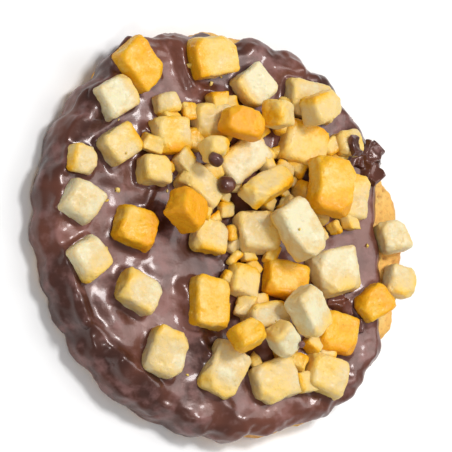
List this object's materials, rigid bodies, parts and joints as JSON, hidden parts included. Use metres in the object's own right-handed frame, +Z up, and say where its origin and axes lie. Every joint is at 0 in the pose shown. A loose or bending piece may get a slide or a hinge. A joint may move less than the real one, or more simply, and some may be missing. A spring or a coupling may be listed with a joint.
{
  "type": "chocolate orange biscuit",
  "caption": "Thin round biscuit with a fluted edge, coated with dark chocolate on its face and over part of its side, and topped with dice of candied orange peel.",
  "frame": {"origin": "centre of the flat underside, on the surface that the biscuit lies on", "axes": "+Z up out of the coated face; +X to the right and +Y away in a view from above, with the bare crescent of crust at +X"},
  "size_m": [0.0669, 0.0663, 0.0161],
  "materials": {
    "crust": "matte, baked golden, with a fine crumb",
    "chocolate": "satin gloss, dark",
    "peel": "sticky satin, translucent"
  },
  "bodies": {
    "root": {"biscuit": "crust", "chocolate_coat": "chocolate", "peel_01": "peel", "peel_02": "peel", "peel_03": "peel", "peel_04": "peel", "peel_05": "peel", "peel_06": "peel", "peel_07": "peel", "peel_08": "peel", "peel_09": "peel", "peel_10": "peel", "peel_11": "peel", "peel_12": "peel", "peel_13": "peel", "peel_14": "peel", "peel_15": "peel", "peel_16": "peel", "peel_17": "peel", "peel_18": "peel", "peel_19": "peel", "peel_20": "peel", "peel_21": "peel", "peel_22": "peel", "peel_23": "peel", "peel_24": "peel", "peel_25": "peel", "peel_26": "peel", "peel_27": "peel", "peel_28": "peel", "peel_29": "peel", "peel_30": "peel", "peel_31": "peel", "peel_32": "peel", "peel_33": "peel", "peel_34": "peel", "peel_35": "peel", "peel_36": "peel", "peel_37": "peel", "peel_38": "peel", "peel_39": "peel", "peel_40": "peel", "peel_41": "peel", "peel_42": "peel", "peel_43": "peel", "peel_44": "peel", "peel_45": "peel", "peel_46": "peel", "peel_47": "peel"}
  },
  "joints": []
}
